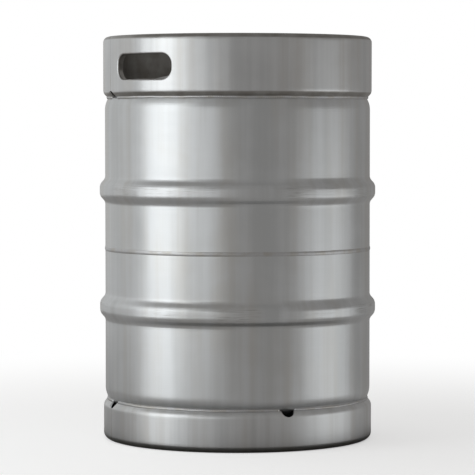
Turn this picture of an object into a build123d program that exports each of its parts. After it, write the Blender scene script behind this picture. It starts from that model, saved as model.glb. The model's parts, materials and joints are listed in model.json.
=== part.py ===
"""A straight-sided stainless steel beer keg of 15.5 US gallons (58.7 litres), with its well-type spear valve.

The vessel is two drawn half shells joined by a girth weld. A rolled chime with two hand holes is welded to
the top shoulder, and a foot chime to the bottom one. The neck is welded into the top dome. A retaining ring
holds the spear in the neck: a valve body and a spring cage, with a rubber gas seal on a sprung spear tube
and a sprung ball inside the seal.

Frame: millimetres, +Z up, origin at the centre of the foot's resting plane. The hand holes face -Y and +Y.
"""

from build123d import *
import os
from math import asin, cos, degrees, radians, sin, sqrt

# ---- Vessel -------------------------------------------------------------------------------------------
HEIGHT = 592.0  # foot plane to rim plane
BODY_R = 196.0  # outside of the plain wall
RIB_R = 204.0  # outside of the rolling ribs
SHELL_T = 1.45  # sheet thickness of the half shells
GIRTH_Z = 281.0  # girth weld, half way between the shoulders
RIB_RISE_Z = 86.0  # each rib's centre from the girth weld
SHOULDER_RISE_Z = 221.0  # each chime joint from the girth weld
KNUCKLE_R = 32.0  # shoulder radius between wall and dome
KNUCKLE_RISE = 17.0  # the knuckle starts this far before the chime joint
CROWN_R = 520.0  # dome radius
RIB_TURN = 42.0  # slope of a rib's flank, in degrees from the wall
RIB_ROOT_R = 10.0
RIB_CREST_R = 12.0
RIB_WIDTH = 42.0

# ---- Chimes -------------------------------------------------------------------------------------------
CHIME_R = 198.5  # outside of both chimes
CHIME_T = 1.9
LIP_TURN = 45.0  # the welded lip leans in by this angle
LIP_R = 10.0
LIP_LENGTH = 5.2
LIP_GAP = 0.7  # root gap between lip and shell, filled by the weld
RIM_R = 8.5  # both bends of the rolled rim
RIM_FLAT = 3.0
RIM_RETURN = 4.0
FOOT_R = 9.0
FOOT_FLAT = 5.0
FOOT_RETURN = 5.0
SEAM_ANGLE = 246.0  # both chime seams, seen from above, from +X
SEAM_WIDTH_DEG = 0.8
SEAM_PROUD = 0.25
DRAIN_R = 10.0  # half-round notches in the welded lips
RIM_DRAIN_COUNT = 2
FOOT_DRAIN_COUNT = 4

# ---- Hand holes ---------------------------------------------------------------------------------------
HOLE_WIDTH = 108.0
HOLE_HEIGHT = 35.0
HOLE_CORNER_R = 15.0
HOLE_BELOW_RIM = 46.0  # hole centre under the rim plane
HOLE_COLLAR_DEPTH = 10.0  # turned-in collar, from the chime's outside
HOLE_EDGE_R = 3.5

# ---- Welds --------------------------------------------------------------------------------------------
GIRTH_GAP = 4.0  # width of the weld between the two shell edges
GIRTH_CROWN_WIDTH = 7.0
GIRTH_CROWN = 0.9
ROOT_WELD_R = 3.0
NECK_FILLET = 3.0

# ---- Neck ---------------------------------------------------------------------------------------------
NECK_BELOW_RIM = 17.0
NECK_FLANGE_R = 32.0
NECK_FLANGE_T = 6.0
NECK_WAIST_R = 28.0
NECK_SKIRT_R = 31.5
NECK_SKIRT_RISE = 9.0  # top of the skirt above the dome's top
NECK_DEPTH = 34.0
NECK_BORE_R = 24.9
NECK_SHOULDER_DROP = 15.0  # gasket shoulder under the neck's top
NECK_THROAT_R = 22.6
RING_GROOVE_R = 26.5
RING_GROOVE_HEIGHT = 2.2
HOLE_IN_DOME_PLAY = 0.1

# ---- Spear valve --------------------------------------------------------------------------------------
GASKET_T = 2.0
GASKET_PLAY = 0.2
FLANGE_R = 24.6
FLANGE_T = 7.0
BODY_BARREL_R = 22.2
BODY_CAVITY_R = 19.4
COUPLER_R = 18.0  # opening that a tap coupler enters
LIP_HEIGHT = 4.5  # lip that the coupler's lugs turn under
LUG_ROOM_R = 20.6
LUG_SLOT_WIDTH = 12.0
LUG_ROOM_HEIGHT = 11.5
SEAT_R = 13.2
SEAT_T = 4.0
BODY_SKIRT = 21.0  # cavity depth under the seat
RING_T = 2.0
RING_INNER_R = 22.2
RING_OUTER_R = 26.3
RING_OPEN_DEG = 24.0

GAS_TRAVEL = 6.0  # how far a coupler's probe presses the gas seal down
BALL_TRAVEL = 5.0  # how far it presses the ball down inside the seal
SEAL_BOSS_R = 12.9
SEAL_FLANGE_R = 16.8
SEAL_FLANGE_T = 6.0
SEAL_HOLE_R = 6.3
SEAL_POCKET_R = 8.8
BALL_R = 8.0
BALL_PLAY = 0.25
HEAD_T = 1.5  # wall and flange of the tube head
HEAD_R = SEAL_POCKET_R + HEAD_T
HEAD_DEPTH = 25.0
HEAD_SLEEVE = 9.0
TUBE_R = 7.5
TUBE_T = 0.8
TUBE_END_GAP = 12.0  # tube end above the vessel's lowest point
TUBE_NOTCH_R = 4.0

CAGE_R = 19.3
CAGE_T = 1.5
CAGE_ENTRY = 6.0  # how far the cage reaches up into the valve body
CAGE_HEIGHT = 36.0  # under the valve body
CAGE_WINDOW = (13.0, 20.0)
CAGE_WINDOW_COUNT = 4
BUSH_R = 9.4
BUSH_BORE_R = TUBE_R + 0.1
BUSH_FLANGE_R = 10.9
BUSH_T = 1.5

GAS_SPRING_R = 12.3
GAS_WIRE_R = 1.1
GAS_SPRING_TURNS = 7
BALL_SPRING_R = 6.3
BALL_WIRE_R = 0.45
BALL_SPRING_TURNS = 6
SPRING_PLAY = 0.1

# ---- Heights worked out from the above ----------------------------------------------------------------
TOP_JOINT_Z = GIRTH_Z + SHOULDER_RISE_Z
BOTTOM_JOINT_Z = GIRTH_Z - SHOULDER_RISE_Z
KNUCKLE_Z = TOP_JOINT_Z - KNUCKLE_RISE
KNUCKLE_CENTRE_R = BODY_R - KNUCKLE_R
CROWN_CENTRE_Z = KNUCKLE_Z - sqrt((CROWN_R - KNUCKLE_R) ** 2 - KNUCKLE_CENTRE_R**2)
DOME_TOP_Z = CROWN_CENTRE_Z + CROWN_R
FLOOR_Z = 2 * GIRTH_Z - DOME_TOP_Z + SHELL_T  # inside of the bottom dome, at the axis
HOLE_Z = HEIGHT - HOLE_BELOW_RIM

NECK_TOP_Z = HEIGHT - NECK_BELOW_RIM
NECK_BOTTOM_Z = NECK_TOP_Z - NECK_DEPTH
SHOULDER_Z = NECK_TOP_Z - NECK_SHOULDER_DROP
FLANGE_BOTTOM_Z = SHOULDER_Z + GASKET_T
FLANGE_TOP_Z = FLANGE_BOTTOM_Z + FLANGE_T
LUG_ROOM_Z = FLANGE_TOP_Z - LIP_HEIGHT
LAND_Z = LUG_ROOM_Z - LUG_ROOM_HEIGHT  # top of the seat land
SEAT_Z = LAND_Z - SEAT_T  # underside of the land, where the gas seal closes
BODY_END_Z = SEAT_Z - BODY_SKIRT
HEAD_TOP_Z = SEAT_Z - SEAL_FLANGE_T
HEAD_FLOOR_Z = HEAD_TOP_Z - HEAD_DEPTH
TUBE_TOP_Z = HEAD_FLOOR_Z - HEAD_T
TUBE_END_Z = FLOOR_Z + TUBE_END_GAP
CAGE_END_Z = BODY_END_Z - CAGE_HEIGHT
CAGE_FLOOR_Z = CAGE_END_Z + CAGE_T


# ---- Drawing helpers ----------------------------------------------------------------------------------
def stride(angle, length):
    """A step in the plane of radius (X) and height (Z), at an angle in degrees from +X."""
    return Vector(length * cos(radians(angle)), 0, length * sin(radians(angle)))


def pen(start, heading, moves, offset=0.0):
    """The edges of a smooth path: a number is a straight run, (radius, turn) an arc, with left turns positive.

    offset shifts the whole path to its left, which changes the arcs' radii and keeps the straights.
    """
    here = Vector(start[0], 0, start[1]) + stride(heading + 90, offset)
    edges = []
    for move in moves:
        if isinstance(move, tuple):
            radius, turn = move
            side = 90 if turn > 0 else -90
            radius -= offset if turn > 0 else -offset
            centre = here + stride(heading + side, radius)
            middle = centre + stride(heading - side + turn / 2, radius)
            end = centre + stride(heading - side + turn, radius)
            edges.append(Edge.make_three_point_arc(here, middle, end))
            heading += turn
        else:
            end = here + stride(heading, move)
            edges.append(Edge.make_line(here, end))
        here = end
    return edges


def sheet(start, heading, moves, thickness, proud=0.0):
    """The section of a bent sheet whose outer face is the pen's path, thickened to the left."""
    skin = pen(start, heading, moves, -proud)
    back = pen(start, heading, moves, thickness + proud)
    ends = [Edge.make_line(skin[0] @ 0, back[0] @ 0), Edge.make_line(skin[-1] @ 1, back[-1] @ 1)]
    return Face(Wire.combine([*skin, *back, *ends])[0])


def section(*corners):
    """A section in the plane of radius and height, from its (radius, height) corners."""
    points = [Vector(r, 0, z) for r, z in corners]
    return Face(Wire.make_polygon(points, close=True))


def ring(inner, outer, low, high):
    """A plain ring about Z."""
    return turned(section((inner, low), (outer, low), (outer, high), (inner, high)))


def turned(face, arc=360.0):
    return revolve(face, Axis.Z, revolution_arc=arc)


def flipped(shape):
    """The same shape turned over about the girth plane."""
    return mirror(shape, about=Plane.XY.offset(GIRTH_Z))


# ---- Half shells --------------------------------------------------------------------------------------
def rib_moves():
    """The bend moves of one rolling rib, from wall to wall."""
    swing = 1 - cos(radians(RIB_TURN))
    flank = (RIB_R - BODY_R - (RIB_ROOT_R + RIB_CREST_R) * swing) / sin(radians(RIB_TURN))
    run = (RIB_ROOT_R + RIB_CREST_R) * sin(radians(RIB_TURN)) + flank * cos(radians(RIB_TURN))
    rise = [(RIB_ROOT_R, -RIB_TURN), flank, (RIB_CREST_R, RIB_TURN)]
    return [*rise, RIB_WIDTH - 2 * run, *reversed(rise)]


def half_shell_face(hole_r):
    """The top half shell's section, from the girth edge up to a hole at the axis, or closed when hole_r is 0."""
    edge_z = GIRTH_Z + GIRTH_GAP / 2
    rib_low_z = GIRTH_Z + RIB_RISE_Z - RIB_WIDTH / 2
    crown_turn = degrees(asin(KNUCKLE_CENTRE_R / (CROWN_R - KNUCKLE_R)))
    hole_turn = degrees(asin(hole_r / CROWN_R))
    moves = [
        rib_low_z - edge_z,
        *rib_moves(),
        KNUCKLE_Z - rib_low_z - RIB_WIDTH,
        (KNUCKLE_R, 90 - crown_turn),
        (CROWN_R, crown_turn - hole_turn),
    ]
    return sheet((BODY_R, edge_z), 90, moves, SHELL_T)


def make_girth_weld():
    """The bead between the two shell edges, crowned a little over the wall."""
    stem = ring(BODY_R - SHELL_T, BODY_R, GIRTH_Z - GIRTH_GAP / 2, GIRTH_Z + GIRTH_GAP / 2)
    low = Vector(BODY_R, 0, GIRTH_Z - GIRTH_CROWN_WIDTH / 2)
    high = Vector(BODY_R, 0, GIRTH_Z + GIRTH_CROWN_WIDTH / 2)
    peak = Vector(BODY_R + GIRTH_CROWN, 0, GIRTH_Z)
    crown = Face(Wire([Edge.make_three_point_arc(low, peak, high), Edge.make_line(high, low)]))
    return stem + turned(crown)


# ---- Chimes -------------------------------------------------------------------------------------------
def lip_start():
    """Where the welded lip's outer corner lies, clear of the knuckle by the root gap."""
    lean = radians(LIP_TURN)
    radius = CHIME_R - LIP_R * (1 - cos(lean)) - LIP_LENGTH * sin(lean)
    reach = KNUCKLE_R + LIP_GAP + CHIME_T * 0.2
    return radius, KNUCKLE_Z + sqrt(reach**2 - (radius - KNUCKLE_CENTRE_R) ** 2)


def chime_moves(height, bend_r, flat, back):
    """The lip, the upright wall and the rolled edge of a chime that ends height above the girth plane."""
    lean = radians(LIP_TURN)
    wall_low = lip_start()[1] - GIRTH_Z + LIP_LENGTH * cos(lean) + LIP_R * sin(lean)
    return [LIP_LENGTH, (LIP_R, LIP_TURN), height - bend_r - wall_low, (bend_r, 90), flat, (bend_r, 90), back]


def drain_cutters(count):
    """Radial cutters for a top chime's drain notches, evenly spaced, the first one on the chime's seam."""
    cutter = Pos(CHIME_R - 4, 0, TOP_JOINT_Z) * Rot(Y=90) * Cylinder(DRAIN_R, 18)
    return [Rot(Z=SEAM_ANGLE + i * 360 / count) * cutter for i in range(count)]


def chime_and_seam(moves, height, drain_count):
    """A rolled ring, open at its seam, and the weld that closes it, flush at the rolled edge's flat.

    Both are drawn as a top chime that ends height above the girth plane.
    """
    heading = 90 - LIP_TURN
    chime = turned(sheet(lip_start(), heading, moves, CHIME_T), 360 - SEAM_WIDTH_DEG)
    seam = turned(sheet(lip_start(), heading, moves, CHIME_T, SEAM_PROUD), SEAM_WIDTH_DEG)
    seam = seam & ring(KNUCKLE_CENTRE_R, RIB_R, GIRTH_Z, GIRTH_Z + height)
    drains = drain_cutters(drain_count)
    chime = Rot(Z=SEAM_ANGLE + SEAM_WIDTH_DEG / 2) * chime - drains
    seam = Rot(Z=SEAM_ANGLE - SEAM_WIDTH_DEG / 2) * seam - drains
    return largest(chime, 1), largest(seam, 1)


def root_weld(shell_face, moves, drain_count):
    """The bead between a chime's lip and the shell, cut away at the drain notches."""
    chime_face = sheet(lip_start(), 90 - LIP_TURN, moves, CHIME_T)
    radius, height = lip_start()
    bead = Plane.XZ * Pos(radius - 1.2, height) * Circle(ROOT_WELD_R)
    bead = bead - shell_face - chime_face
    bead = turned(bead.faces().sort_by(SortBy.AREA)[-1])
    return largest(bead - drain_cutters(drain_count), drain_count)


def largest(shape, count):
    """The count largest solids of a shape, as one compound."""
    return Compound(children=list(shape.solids().sort_by(SortBy.VOLUME))[-count:])


def hole_block(grow, low_r, high_r):
    """A block with a hand hole's outline, grown by a margin, between two radii on both sides of the keg."""
    outline = RectangleRounded(HOLE_WIDTH + 2 * grow, HOLE_HEIGHT + 2 * grow, HOLE_CORNER_R + grow)
    block = extrude(Plane.XZ * Pos(0, HOLE_Z) * outline, high_r, both=True)
    return block & ring(low_r, high_r, HOLE_Z - HOLE_HEIGHT, HOLE_Z + HOLE_HEIGHT)


def with_hand_holes(chime):
    """Adds the turned-in collars, cuts the holes and rounds their outer edges."""
    collar_end = CHIME_R - HOLE_COLLAR_DEPTH
    chime = chime + hole_block(CHIME_T, collar_end, CHIME_R - CHIME_T / 2)
    chime = chime - hole_block(0, collar_end - 5, CHIME_R + 5)

    def on_hole_edge(edge):
        middle = edge @ 0.5
        return (
            abs(sqrt(middle.X**2 + middle.Y**2) - CHIME_R) < 0.01
            and abs(middle.Z - HOLE_Z) < HOLE_HEIGHT / 2 + 0.01
            and abs(middle.X) < HOLE_WIDTH / 2 + 0.01
        )

    return fillet(chime.edges().filter_by(on_hole_edge), HOLE_EDGE_R)


# ---- Neck ---------------------------------------------------------------------------------------------
def make_neck():
    flange_low_z = NECK_TOP_Z - NECK_FLANGE_T
    skirt_top_z = DOME_TOP_Z + NECK_SKIRT_RISE
    face = section(
        (NECK_BORE_R + 1, NECK_TOP_Z),
        (NECK_FLANGE_R - 1, NECK_TOP_Z),
        (NECK_FLANGE_R, NECK_TOP_Z - 1),
        (NECK_FLANGE_R, flange_low_z + 1),
        (NECK_FLANGE_R - 1, flange_low_z),
        (NECK_WAIST_R, flange_low_z - 1.5),
        (NECK_WAIST_R, skirt_top_z + 2),
        (NECK_SKIRT_R, skirt_top_z),
        (NECK_SKIRT_R, NECK_BOTTOM_Z + 2),
        (NECK_SKIRT_R - 2, NECK_BOTTOM_Z),
        (NECK_THROAT_R, NECK_BOTTOM_Z),
        (NECK_THROAT_R, SHOULDER_Z),
        (NECK_BORE_R, SHOULDER_Z),
        (NECK_BORE_R, FLANGE_TOP_Z),
        (RING_GROOVE_R, FLANGE_TOP_Z),
        (RING_GROOVE_R, FLANGE_TOP_Z + RING_GROOVE_HEIGHT),
        (NECK_BORE_R, FLANGE_TOP_Z + RING_GROOVE_HEIGHT),
        (NECK_BORE_R, NECK_TOP_Z - 1),
    )
    return turned(face)


def make_neck_weld(shell_face_with_hole):
    """The fillet bead in the corner between the neck's skirt and the dome."""
    low = DOME_TOP_Z - NECK_FILLET
    corner = section(
        (NECK_SKIRT_R, low),
        (NECK_SKIRT_R + NECK_FILLET, low),
        (NECK_SKIRT_R + NECK_FILLET, DOME_TOP_Z - 0.6),
        (NECK_SKIRT_R, DOME_TOP_Z + NECK_FILLET),
    )
    bead = corner - shell_face_with_hole
    return turned(bead.faces().sort_by(SortBy.DISTANCE)[-1])


# ---- Spear: fixed pieces ------------------------------------------------------------------------------
def make_valve_body():
    """The flanged body, with the coupler's opening, the lug room under its lip, and the gas seat."""
    face = section(
        (COUPLER_R, LUG_ROOM_Z),
        (COUPLER_R, FLANGE_TOP_Z),
        (FLANGE_R, FLANGE_TOP_Z),
        (FLANGE_R, FLANGE_BOTTOM_Z),
        (BODY_BARREL_R, FLANGE_BOTTOM_Z),
        (BODY_BARREL_R, BODY_END_Z),
        (BODY_CAVITY_R, BODY_END_Z),
        (BODY_CAVITY_R, SEAT_Z),
        (SEAT_R, SEAT_Z),
        (SEAT_R, LAND_Z),
        (LUG_ROOM_R, LAND_Z),
        (LUG_ROOM_R, LUG_ROOM_Z),
    )
    slot_z = (LUG_ROOM_Z + FLANGE_TOP_Z) / 2
    slot = Box(LUG_SLOT_WIDTH, 2 * LUG_ROOM_R, LIP_HEIGHT) & Cylinder(LUG_ROOM_R, LIP_HEIGHT)
    return turned(face) - Pos(0, 0, slot_z) * slot


def make_retaining_ring():
    """An open ring that snaps into the neck's groove above the valve body's flange."""
    face = section(
        (RING_INNER_R, FLANGE_TOP_Z),
        (RING_OUTER_R, FLANGE_TOP_Z),
        (RING_OUTER_R, FLANGE_TOP_Z + RING_T),
        (RING_INNER_R, FLANGE_TOP_Z + RING_T),
    )
    return Rot(Z=RING_OPEN_DEG / 2) * turned(face, 360 - RING_OPEN_DEG)


def make_spring_cage():
    """The cup under the valve body that carries the gas spring, with windows for the gas."""
    inner = CAGE_R - CAGE_T
    face = section(
        (BUSH_R + 0.1, CAGE_END_Z),
        (CAGE_R, CAGE_END_Z),
        (CAGE_R, BODY_END_Z - 2),
        (BODY_BARREL_R, BODY_END_Z - 2),
        (BODY_BARREL_R, BODY_END_Z),
        (CAGE_R, BODY_END_Z),
        (CAGE_R, BODY_END_Z + CAGE_ENTRY),
        (inner, BODY_END_Z + CAGE_ENTRY),
        (inner, CAGE_FLOOR_Z),
        (BUSH_R + 0.1, CAGE_FLOOR_Z),
    )
    width, height = CAGE_WINDOW
    window = Pos(CAGE_R, 0, CAGE_END_Z + CAGE_HEIGHT / 2) * Box(8, width, height)
    turns = [45 + i * 360 / CAGE_WINDOW_COUNT for i in range(CAGE_WINDOW_COUNT)]
    return turned(face) - [Rot(Z=turn) * window for turn in turns]


def make_guide_bush():
    """The plastic bush in the cage's floor that the spear tube slides in."""
    face = section(
        (BUSH_BORE_R, CAGE_END_Z - 1),
        (BUSH_R, CAGE_END_Z - 1),
        (BUSH_R, CAGE_FLOOR_Z),
        (BUSH_FLANGE_R, CAGE_FLOOR_Z),
        (BUSH_FLANGE_R, CAGE_FLOOR_Z + BUSH_T),
        (BUSH_BORE_R, CAGE_FLOOR_Z + BUSH_T),
    )
    return turned(face)


def make_spring(radius, wire_r, turns, low, high):
    """A helical spring whose wire lies between two heights."""
    height = high - low - 2 * wire_r
    path = Helix(pitch=height / turns, height=height, radius=radius)
    wire = Plane(origin=path @ 0, z_dir=path % 0) * Circle(wire_r)
    return Pos(0, 0, low + wire_r) * sweep(wire, path=path)


# ---- Spear: moving pieces -----------------------------------------------------------------------------
def ball_centre_z():
    """The ball's centre, where it clears the edge of the seal's hole by BALL_PLAY."""
    edge_z = SEAT_Z - 0.5
    return edge_z - sqrt((BALL_R + BALL_PLAY) ** 2 - SEAL_HOLE_R**2)


def make_gas_seal():
    """The rubber seal: a boss through the seat, a flange under it, and the ball's seat in its middle."""
    face = section(
        (SEAL_HOLE_R, LAND_Z - 0.6),
        (SEAL_HOLE_R + 0.6, LAND_Z),
        (SEAL_BOSS_R - 0.6, LAND_Z),
        (SEAL_BOSS_R, LAND_Z - 0.6),
        (SEAL_BOSS_R, SEAT_Z),
        (SEAL_FLANGE_R, SEAT_Z),
        (SEAL_FLANGE_R, HEAD_TOP_Z),
        (SEAL_POCKET_R, HEAD_TOP_Z),
        (SEAL_POCKET_R, SEAT_Z - 1.4),
        (SEAL_HOLE_R, SEAT_Z - 0.5),
    )
    return turned(face)


def make_tube_head():
    """The flanged cup on top of the spear tube: it backs the seal, holds the ball, and sits on the gas spring."""
    sleeve_r = TUBE_R + HEAD_T
    face = section(
        (SEAL_POCKET_R, HEAD_TOP_Z),
        (SEAL_FLANGE_R, HEAD_TOP_Z),
        (SEAL_FLANGE_R, HEAD_TOP_Z - HEAD_T),
        (HEAD_R, HEAD_TOP_Z - HEAD_T),
        (HEAD_R, TUBE_TOP_Z),
        (sleeve_r, TUBE_TOP_Z),
        (sleeve_r, TUBE_TOP_Z - HEAD_SLEEVE),
        (TUBE_R, TUBE_TOP_Z - HEAD_SLEEVE),
        (TUBE_R, TUBE_TOP_Z),
        (BALL_SPRING_R - 1.2, TUBE_TOP_Z),
        (BALL_SPRING_R - 1.2, HEAD_FLOOR_Z),
        (SEAL_POCKET_R, HEAD_FLOOR_Z),
    )
    return turned(face)


def make_spear_tube():
    """The long tube down to the vessel's floor, notched at its end so that it can't seal against the floor."""
    tube = ring(TUBE_R - TUBE_T, TUBE_R, TUBE_END_Z, TUBE_TOP_Z)
    notch = Pos(0, 0, TUBE_END_Z) * Rot(X=90) * Cylinder(TUBE_NOTCH_R, 4 * TUBE_R)
    return tube - notch - Rot(Z=90) * notch


# ---- Build and write ----------------------------------------------------------------------------------
def make_parts():
    """Every piece by its node's name."""
    pierced_face = half_shell_face(NECK_SKIRT_R + HOLE_IN_DOME_PLAY)
    closed_face = half_shell_face(0.0)
    rim_height = HEIGHT - GIRTH_Z
    rim_moves = chime_moves(rim_height, RIM_R, RIM_FLAT, RIM_RETURN)
    foot_moves = chime_moves(GIRTH_Z, FOOT_R, FOOT_FLAT, FOOT_RETURN)
    top_chime, top_seam = chime_and_seam(rim_moves, rim_height, RIM_DRAIN_COUNT)
    foot_chime, foot_seam = chime_and_seam(foot_moves, GIRTH_Z, FOOT_DRAIN_COUNT)
    ball_z = ball_centre_z()
    gas_spring_low = CAGE_FLOOR_Z + SPRING_PLAY
    gas_spring_high = HEAD_TOP_Z - HEAD_T - SPRING_PLAY
    ball_spring_low = HEAD_FLOOR_Z + SPRING_PLAY
    wire_reach = BALL_R + BALL_WIRE_R + SPRING_PLAY
    ball_spring_high = ball_z - sqrt(wire_reach**2 - BALL_SPRING_R**2) + BALL_WIRE_R
    return {
        "upper_shell": turned(pierced_face),
        "lower_shell": flipped(turned(closed_face)),
        "girth_weld": make_girth_weld(),
        "top_chime": with_hand_holes(top_chime),
        "top_chime_seam": top_seam,
        "top_chime_weld": root_weld(closed_face, rim_moves, RIM_DRAIN_COUNT),
        "bottom_chime": flipped(foot_chime),
        "bottom_chime_seam": flipped(foot_seam),
        "bottom_chime_weld": flipped(root_weld(closed_face, foot_moves, FOOT_DRAIN_COUNT)),
        "neck": make_neck(),
        "neck_weld": make_neck_weld(pierced_face),
        "neck_gasket": ring(NECK_THROAT_R + GASKET_PLAY, FLANGE_R, SHOULDER_Z, FLANGE_BOTTOM_Z),
        "valve_body": make_valve_body(),
        "retaining_ring": make_retaining_ring(),
        "spring_cage": make_spring_cage(),
        "guide_bush": make_guide_bush(),
        "gas_spring": make_spring(GAS_SPRING_R, GAS_WIRE_R, GAS_SPRING_TURNS, gas_spring_low, gas_spring_high),
        "gas_seal": make_gas_seal(),
        "tube_head": make_tube_head(),
        "spear_tube": make_spear_tube(),
        "ball_spring": make_spring(
            BALL_SPRING_R, BALL_WIRE_R, BALL_SPRING_TURNS, ball_spring_low, ball_spring_high
        ),
        "valve_ball": Pos(0, 0, ball_z) * Sphere(BALL_R),
    }


os.makedirs("parts", exist_ok=True)
for name, shape in make_parts().items():
    export_step(shape, f"parts/{name}.step")
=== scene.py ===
"""Looks of a stainless steel beer keg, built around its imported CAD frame. Metres, +Z up.

The vessel, chimes, welds, neck and the valve's visible pieces are replaced by finer meshes: true sheet
thickness, slightly wavy walls, turned-in hand holes, cut drain notches and rippled weld beads.
"""

import json
import math
from collections import namedtuple

import bmesh
import bpy
import numpy as np
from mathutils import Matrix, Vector


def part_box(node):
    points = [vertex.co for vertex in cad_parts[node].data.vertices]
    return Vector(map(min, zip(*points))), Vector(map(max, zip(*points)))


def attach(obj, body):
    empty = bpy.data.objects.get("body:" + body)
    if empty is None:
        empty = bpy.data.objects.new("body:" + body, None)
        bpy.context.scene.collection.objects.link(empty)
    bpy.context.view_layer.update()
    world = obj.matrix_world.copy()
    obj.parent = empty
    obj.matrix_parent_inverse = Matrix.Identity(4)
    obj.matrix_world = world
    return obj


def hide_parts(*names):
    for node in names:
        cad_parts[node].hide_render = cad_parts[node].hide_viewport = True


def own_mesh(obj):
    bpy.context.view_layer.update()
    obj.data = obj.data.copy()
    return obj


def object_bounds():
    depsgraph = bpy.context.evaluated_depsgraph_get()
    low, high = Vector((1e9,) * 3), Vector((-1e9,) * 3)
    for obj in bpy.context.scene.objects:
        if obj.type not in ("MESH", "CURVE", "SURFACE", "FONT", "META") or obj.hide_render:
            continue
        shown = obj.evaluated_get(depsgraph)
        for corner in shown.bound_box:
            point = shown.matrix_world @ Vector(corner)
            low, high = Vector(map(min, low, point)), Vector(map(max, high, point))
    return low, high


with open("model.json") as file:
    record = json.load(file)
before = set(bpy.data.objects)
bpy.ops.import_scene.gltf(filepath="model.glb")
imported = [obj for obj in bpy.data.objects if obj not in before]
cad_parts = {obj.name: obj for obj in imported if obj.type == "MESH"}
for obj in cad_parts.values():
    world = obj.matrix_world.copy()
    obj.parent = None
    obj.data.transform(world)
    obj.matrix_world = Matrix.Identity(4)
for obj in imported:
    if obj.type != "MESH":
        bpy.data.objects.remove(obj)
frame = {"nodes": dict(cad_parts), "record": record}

CAD_LOW, CAD_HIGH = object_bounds()

# ---- Places and sizes read from the frame ----
HEIGHT = CAD_HIGH.z
RIB_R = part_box("upper_shell")[1].x
GIRTH_Z = (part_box("girth_weld")[0].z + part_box("girth_weld")[1].z) / 2
CHIME_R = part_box("top_chime")[1].x
LIP_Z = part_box("top_chime")[0].z  # lowest edge of the top chime's welded lip
DOME_TOP_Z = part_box("upper_shell")[1].z
NECK_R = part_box("neck")[1].x
NECK_LOW_Z, NECK_TOP_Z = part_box("neck")[0].z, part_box("neck")[1].z
GASKET_LOW_Z, GASKET_HIGH_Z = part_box("neck_gasket")[0].z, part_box("neck_gasket")[1].z
BODY_LOW_Z, BODY_TOP_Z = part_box("valve_body")[0].z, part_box("valve_body")[1].z
RING_TOP_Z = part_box("retaining_ring")[1].z
SEAL_LOW_Z, SEAL_TOP_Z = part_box("gas_seal")[0].z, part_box("gas_seal")[1].z
BALL_Z = (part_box("valve_ball")[0].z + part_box("valve_ball")[1].z) / 2
BALL_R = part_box("valve_ball")[1].x

# ---- Shapes of the sheet metal ----
SHELL_T = 0.00145
CHIME_T = 0.0019
RIB_PROUD = 0.008
BODY_R = RIB_R - RIB_PROUD
RIB_RISE = 0.086  # from the girth weld to a rib's centre
RIB_WIDTH = 0.042
RIB_TURN = 42.0  # degrees
RIB_ROOT_R = 0.010
RIB_CREST_R = 0.012
GIRTH_GAP = 0.004
JOINT_RISE = 0.221  # from the girth weld to a chime joint
KNUCKLE_DROP = 0.017
KNUCKLE_R = 0.032
CROWN_R = 0.520
LIP_TURN = 45.0
LIP_BEND_R = 0.010
LIP_LENGTH = 0.0052
RIM_BENDS = (0.0085, 0.003, 0.004)  # bend radius, flat and return of the rolled rim
FOOT_BENDS = (0.009, 0.005, 0.005)
SHEET_EDGE = 0.0003  # rounding of a cut sheet's edges
SEAM_ANGLE = 246.0
SEAM_WIDTH = 0.8  # degrees
DRAIN_R = 0.010
RIM_DRAINS = [SEAM_ANGLE + 180 * i for i in range(2)]
FOOT_DRAINS = [SEAM_ANGLE + 90 * i for i in range(4)]
KNUCKLE_SIDE_R = 0.195  # radius at which the drain notches cut the lip
NOTCH_REACH = 0.0128  # the lip and its bend, whose mesh rows shorten at a notch

# ---- Hand holes ----
HOLE_ANGLES = (90.0, 270.0)
HOLE_HALF_WIDTH = 0.054
HOLE_HALF_HEIGHT = 0.0175
HOLE_CORNER_R = 0.015
HOLE_Z = HEIGHT - 0.046
COLLAR_DEPTH = 0.010
COLLAR_BEND_R = 0.0035
PATCH_HALF_ANGLE = 20.0  # the mesh around a hand hole is rearranged inside this window
PATCH_HALF_HEIGHT = 0.028
PATCH_COLUMNS = 80
PATCH_ROWS = 28
PATCH_RINGS = 6

ARC_STEP = 6.0  # degrees between points of a bend
LINE_STEP = 0.0035
EPS = 1e-7


# ---- Drawing in the plane of radius and height ----
def unit(angle):
    return np.array([math.cos(math.radians(angle)), math.sin(math.radians(angle))])


def pen(start, heading, moves, offset=0.0, arc_step=ARC_STEP, line_step=LINE_STEP):
    """Points along a smooth path of straight runs, as lengths, and arcs, as (radius, left turn)."""
    here = np.array(start, float) + offset * unit(heading + 90)
    points = [here]
    for move in moves:
        if isinstance(move, tuple):
            radius, turn = move
            side = 90 if turn > 0 else -90
            radius -= offset if turn > 0 else -offset
            centre = here + radius * unit(heading + side)
            count = max(2, math.ceil(abs(turn) / arc_step))
            for k in range(1, count + 1):
                points.append(centre + radius * unit(heading - side + turn * k / count))
            heading += turn
        else:
            count = max(1, math.ceil(move / line_step))
            for k in range(1, count + 1):
                points.append(here + unit(heading) * move * k / count)
        here = points[-1]
    return np.array(points)


def softened(corners, radius, steps=3):
    """A closed outline with each corner rounded by about the radius."""
    corners = [np.array(c, float) for c in corners]
    points = []
    for i, corner in enumerate(corners):
        back = corners[i - 1] - corner
        ahead = corners[(i + 1) % len(corners)] - corner
        back_length, ahead_length = np.linalg.norm(back), np.linalg.norm(ahead)
        half = math.acos(np.clip(back @ ahead / (back_length * ahead_length), -1, 1)) / 2
        reach = min(radius / math.tan(half), 0.4 * back_length, 0.4 * ahead_length)
        first, last = corner + back / back_length * reach, corner + ahead / ahead_length * reach
        for t in np.linspace(0, 1, steps + 1):
            points.append((1 - t) ** 2 * first + 2 * t * (1 - t) * corner + t**2 * last)
    return np.array(points)


def angle_steps(count):
    return np.linspace(0, 360, count, endpoint=False)


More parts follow.
